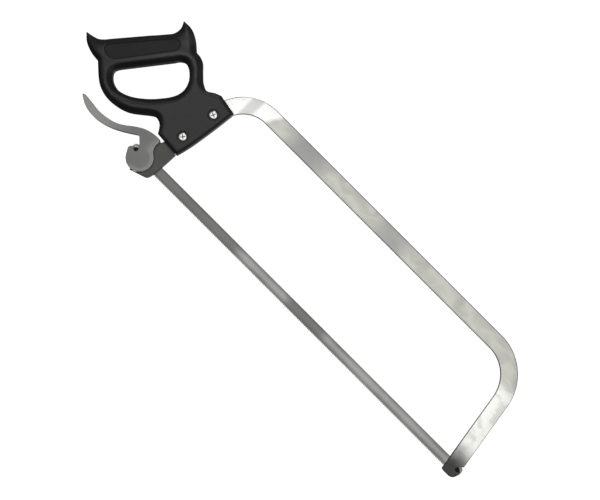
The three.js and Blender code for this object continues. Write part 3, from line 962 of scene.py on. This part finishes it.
def makeBlock():
    centre, saddle = block["camCentre"], block["camRadius"] + gap
    shape = Outline(38.5, 28.2).through((37.7, 12), (36.5, -3), (34.9, -11.5))
    shape.bend((34.1, -16), (30.5, -17.2)).line((13, -23)).bend((11.4, -23.4), (11.2, centre[1] - saddle))
    shape.arc(centre, saddle, -87.3, 60).bend((15.1, 15.4), (15, 20)).line((15.3, 24))
    shape.bend((15.6, 27.8), (19.8, 29.6))
    relief = eased(block["half"], block["edgeWidth"], block["edgeDepth"])
    piece = moulded("saddle_block", [shape.closed(0.7)], relief, roundRings(block["edgeWidth"], 5), 2.5)
    carve(piece, "UNION", prism(tonguePocket(0, -26), -tongueHalf, tongueHalf))
    slot = bow["thickness"] / 2 + gap
    bladeSlot = rectangle(0, -30, 45, block["slotTop"])
    carve(piece, "DIFFERENCE", prism(barOutline(gap), -slot, slot),
          clearHole(lowerScrew, barrelRadius), clearHole(rivetPlace, pinRadius),
          prism(bladeSlot, -block["slotHalf"], block["slotHalf"]))
    below = block["half"] - np.abs(vertexPlaces(piece)[:, 1])      # how far below the sides
    # Painted highlight: lighter along the edge rounding just below the flat sides.
    store(piece, "paintedHighlight", 0.8 * (1 - smooth(0.3, 0.9, below)) * smooth(0.02, 0.3, below))
    return fit(piece, "saw_frame", "block_iron", "tension_block")


makeBlock()
rivetEnds = [(0, 5.5), (1.9, 5.5), (2.4, 5.1)]
fit(pinAt("block_pin", rivetEnds, rivetPlace), "saw_frame", "pin_steel", "block_rivet")
print("block made")


# The cam lever.

lever = {
    "half": 8, "tipHalf": 5.5, "edgeWidth": 0.9, "edgeDepth": 0.9, "camWidth": 4.6,
    "slotHalf": 1.5, "slotTop": 8.6,
}


def leverOutline():
    centre, radius, seat = block["camCentre"], block["camRadius"], pinRadius + gap
    shape = Outline(-91.6, 0.4).bend((-93, 2.8), (-90, 3.1))
    shape.through((-80, 2.1), (-65, 0.6), (-52, 2), (-40, 5), (-30, 10.5), (-20, 18), (-10, 24.1), (1, 27.5),
                  (9, 28))
    shape.bend((14.5, 27.8), (14.6, 24)).line((14.4, 20)).bend((14.6, 15), (19.2, 10.42))
    shape.arc(centre, radius, 60, -160.2)      # the disc that rolls in the saddle
    shape.through((-7.6, -6.2), (-7.9, -3.4), (-6.3, -0.9), (-4.2, -0.1))      # nose of the hook
    shape.arc((0, 0), seat, 187.2, 385.2, step=5).line((1.6, 4.4), (-6.6, 12.6))
    shape.bend((-8.4, 14.3), (-11.4, 12.7))
    shape.through((-20, 7), (-30, 1), (-40, -3.8), (-50, -7), (-60, -8.5), (-72, -8), (-82, -5.2),
                  (-91.6, 0.4))
    return shape.closed(0.8)


def leverRelief(points, distance):
    x = points[:, 0]
    half = lever["tipHalf"] + (lever["half"] - lever["tipHalf"]) * smooth(-66, -6, x)
    offset = points - np.array(block["camCentre"])
    toBlock = smooth(0.35, 0.9, offset[:, 0] / np.maximum(np.linalg.norm(offset, axis=1), 1e-6))
    toBlock = toBlock * smooth(-12, 4, x)
    width = lever["edgeWidth"] + (lever["camWidth"] - lever["edgeWidth"]) * toBlock
    return half - edgeDrop(distance, width, lever["edgeDepth"])


def makeLever():
    loop = leverOutline()
    piece = moulded("cam_lever_body", [loop], leverRelief, roundRings(lever["camWidth"], 8), 1.6, soften=3)
    slot = rectangle(-12, -30, 40, lever["slotTop"])
    carve(piece, "DIFFERENCE", prism(slot, -lever["slotHalf"], lever["slotHalf"]))
    places = vertexPlaces(piece)
    flat = places[:, (0, 2)]
    distance = edgeDistance(flat, [loop])
    outer = smooth(3.5, 5, np.abs(places[:, 1]))
    centre = np.array(block["camCentre"])
    away = np.linalg.norm(flat - centre, axis=1)
    radius = block["camRadius"]
    band = smooth(radius - 5.5, radius - 3.5, away) * smooth(-7, 4, flat[:, 0] - centre[0])
    rim = (1 - smooth(0.4, 1.6, distance)) * smooth(3, 6, np.linalg.norm(flat, axis=1))
    # Painted highlight: lighter on a band round the disc, on the block's side, and along the rounded outline
    # away from the pin.
    store(piece, "paintedHighlight", outer * np.clip(0.7 * band + 0.3 * rim, 0, 1))
    return fit(piece, "tension_lever", "lever_casting", "cam_lever")


makeLever()
print("lever made")


# The blade and its pins.

blade = {
    "rear": -6.4, "front": 552.4, "top": 6, "root": -6.5, "depth": 1.6, "thickness": 0.65, "corner": 5,
    "pitch": 2.4, "from": 14, "to": 532, "tip": 0.07, "rake": 0.15, "set": 0.16, "eyeTravel": (-0.85, 1.75),
}


def makeBlade():
    rear, front, top, low, corner = (blade[key] for key in ("rear", "front", "top", "root", "corner"))
    shape = Outline(front - corner, top).arc((front - corner, top - corner), corner, 90, 0, step=6)
    shape.arc((front - corner, low + corner), corner, 0, -90, step=6)
    teeth = round((blade["to"] - blade["from"]) / blade["pitch"])
    shape.line(*[(blade["to"] - i * blade["pitch"], low) for i in range(teeth + 1)])
    shape.arc((rear + corner, low + corner), corner, -90, -180, step=6)
    shape.arc((rear + corner, top - corner), corner, 180, 90, step=6)
    eye = pinRadius + gap
    rearEye = Outline(blade["eyeTravel"][0], eye).arc((blade["eyeTravel"][0], 0), eye, 90, 270, step=8)
    rearEye.arc((blade["eyeTravel"][1], 0), eye, -90, 90, step=8)
    loops = [np.array(shape.points[1:])[::-1], circle(bow["frontPin"], eye)[::-1],
             np.array(rearEye.points[1:])[::-1]]
    piece = prism(loops, -blade["thickness"] / 2, blade["thickness"] / 2, "toothed_blade")
    start = origin.x + (blade["to"] - teeth * blade["pitch"]) * mm
    pitch = blade["pitch"] * mm
    grow(piece, toothTree, {"Start": start, "End": origin.x + blade["to"] * mm, "Pitch": pitch,
                            "Depth": blade["depth"] * mm, "Tip": blade["tip"], "Set": blade["set"] * mm,
                            "Rake": blade["rake"] * pitch, "Material": finishes["blade_steel"]})
    return fit(piece, "saw_blade", "blade_steel", "blade", sharp=20)


bladePiece = makeBlade()
pinEnds = [(0, 4.7), (0.7, 5), (1.9, 5), (2.45, 4.85), (2.66, 4.5), (2.66, 2.7), (2.4, 2.5)]
for name, place, body in (("front", bow["frontPin"], "saw_blade"), ("rear", (0, 0), "tension_lever")):
    fit(pinAt("blade_stud_" + name, pinEnds, place), body, "pin_steel", "blade_pin_" + name)
print("blade made,", len(bladePiece.data.polygons), "faces")


# Screws and sleeve nuts.

fastener = {
    "base": 8.55, "screwTop": 10.75, "nutTop": 10.45, "head": 5, "shank": 2, "barrel": 3, "bore": 2.35,
    "recess": 3.2, "arm": 0.55, "recessDepth": 1.4, "slot": 0.6, "slotDepth": 1,
}


def headProfile(top, dome):      # from the axis over a rounded head to its underside
    radius, base = fastener["head"], fastener["base"]
    profile = [(0, top)]
    for share in (0.25, 0.5, 0.65, 0.78, 0.86, 0.92, 0.97, 1):
        profile.append((radius * share, top - dome * share ** 8))
    return profile + [(radius, base + 0.15), (radius - 0.15, base)]


def threadProfile(low, high, pitch=0.7):      # ridges down the shank
    radius = fastener["shank"]
    rows = np.arange(high, low, -pitch)
    return [point for y in rows for point in ((radius - 0.25, y), (radius, y - pitch / 2))]


def makeScrews():
    f = fastener
    profile = headProfile(f["screwTop"], 0.8) + [(f["shank"], f["base"]), (f["shank"], 3)]
    profile += threadProfile(-3.4, 2.8) + [(f["shank"] - 0.5, -4), (0, -4)]
    screw = turned("handle_screws", [(r, -y) for r, y in profile])
    arm, reach = f["arm"], f["recess"]
    quarter = np.array([(reach, -arm), (reach, arm), (arm, arm)])
    turns = [np.array([(c, s), (-s, c)]) for c, s in ((1, 0), (0, 1), (-1, 0), (0, -1))]
    places, faces, rims = fill([np.concatenate([quarter @ turn for turn in turns])])
    top, floor = -f["screwTop"], f["recessDepth"] - f["screwTop"]
    carve(screw, "DIFFERENCE", stack("recess", places, faces, rims,
                                     [(places * 1.1, top - 0.3), (places * 0.7, floor)]))
    return screw


def makeNuts():
    f = fastener
    barrel, bore, slot = f["barrel"], f["bore"], f["slot"]
    profile = headProfile(f["nutTop"], 0.9) + [(barrel, f["base"]), (barrel, -6.4), (barrel - 0.2, -6.6),
                                               (bore, -6.6), (bore, 4.8), (0, 4.8)]
    nut = turned("sleeve_nuts", profile)
    tool = prism(rectangle(-8, -slot, 8, slot), f["nutTop"] - f["slotDepth"], f["nutTop"] + 1)
    return carve(nut, "DIFFERENCE", tool)


lower, upper = (Vector((x, 0, z)) * mm for x, z in (lowerScrew, upperScrew))
for piece, kind, seed in ((makeScrews(), "handle_screw_", 4), (makeNuts(), "sleeve_nut_", 9)):
    piece.data.transform(Matrix.Translation(-origin))
    grow(piece, rowTree, {"Count": 2, "First": origin + lower, "Step": upper - lower, "Turn": math.pi,
                          "Seed": seed, "Material": finishes["nickel_screws"]})
    fit(piece, "saw_frame", "nickel_screws", kind + "upper", kind + "lower", sharp=30)
print("fasteners made")


# Stage: floor, light and camera.

studio = {
    "distance": 1.6, "width": 0.723, "aim": (20.1, 0, -11.3), "floor": 30, "floorDrop": 90,
    "sky": 0.13, "ground": 0.05, "glow": 0.45, "backdrop": 1.05, "floorGlow": 0.97,
    "glows": [(-0.64, -0.64, -0.42), (0.68, 0.68, -0.26), (1, 0, 0.1)],      # the way to each bright spot
    "lights": [("front box", (0.16, -2.3, 0.1), (2.7, 2.1), 21), ("back box", (0, 2.3, 0.6), (2, 1.4), 6.5),
               ("top box", (-0.9, -0.9, 1.3), (0.8, 0.5), 3.5)],      # place, size in metres and power
}


def makeFloor():
    size, low = studio["floor"], cadBox[0].z - studio["floorDrop"] * mm      # clear of the swung lever
    corners = [(-size, -size, low), (size, -size, low), (size, size, low), (-size, size, low)]
    floor = meshObject("floor", corners, [], [(0, 1, 2, 3)])
    pale = Finish("pale floor", {"Roughness": 0.9, "Specular IOR Level": 0.0, "Base Color": grey(0.6),
                                 "Emission Color": grey(1), "Emission Strength": studio["floorGlow"]})
    floor.data.materials.append(pale.material)
    floor.visible_glossy = False
    floor.visible_diffuse = False


def makeWorld():
    world = bpy.data.worlds.new("studio")
    scene.world = world
    world.use_nodes = True
    g = Graph(world.node_tree)
    direction = g.node("ShaderNodeTexCoord", {}, {}, "Generated")
    _, _, up = g.split(direction)
    level = studio["ground"] + (studio["sky"] - studio["ground"]) * g.ramp(up, -0.6, 0.9)
    for spot in studio["glows"]:
        toward = g.node("ShaderNodeVectorMath", {"operation": "DOT_PRODUCT"},
                        {0: direction, 1: Vector(spot).normalized()}, "Value")
        level = level + studio["glow"] * g.ramp(toward, 0.8, 0.97)
    seen = g.node("ShaderNodeLightPath", {}, {}, "Is Camera Ray")
    strength = level * (1 - seen) + seen * studio["backdrop"]
    background = world.node_tree.nodes["Background"]
    world.node_tree.links.new(strength.socket, background.inputs["Strength"])
    background.inputs["Color"].default_value = (1, 1, 1, 1)


def areaLight(name, place, size, power):      # a soft box aimed at the saw, unseen by the camera
    light = bpy.data.lights.new(name, "AREA")
    light.shape, light.size, light.size_y, light.energy = "RECTANGLE", *size, power
    lamp = linked(name, light)
    lamp.location = place
    lamp.rotation_euler = (centre - Vector(place)).to_track_quat("-Z", "Y").to_euler()
    lamp.visible_camera = False


makeFloor()
makeWorld()
centre = (cadBox[0] + cadBox[1]) / 2
for softBox in studio["lights"]:
    areaLight(*softBox)

camera = linked("camera", bpy.data.cameras.new("camera"))
aim = centre + Vector(studio["aim"]) * mm
turnedHalfRight = Matrix(((diagonal, -diagonal, 0, 0), (0, 0, -1, 0),
                          (diagonal, diagonal, 0, 0), (0, 0, 0, 1)))
camera.matrix_world = Matrix.Translation(aim - Vector((0, studio["distance"], 0))) @ turnedHalfRight
camera.data.lens = camera.data.sensor_width * studio["distance"] / studio["width"]
camera.data.clip_start, camera.data.clip_end = 0.05, 100
scene.camera = camera
scene.view_settings.view_transform = "Standard"
print("stage set")
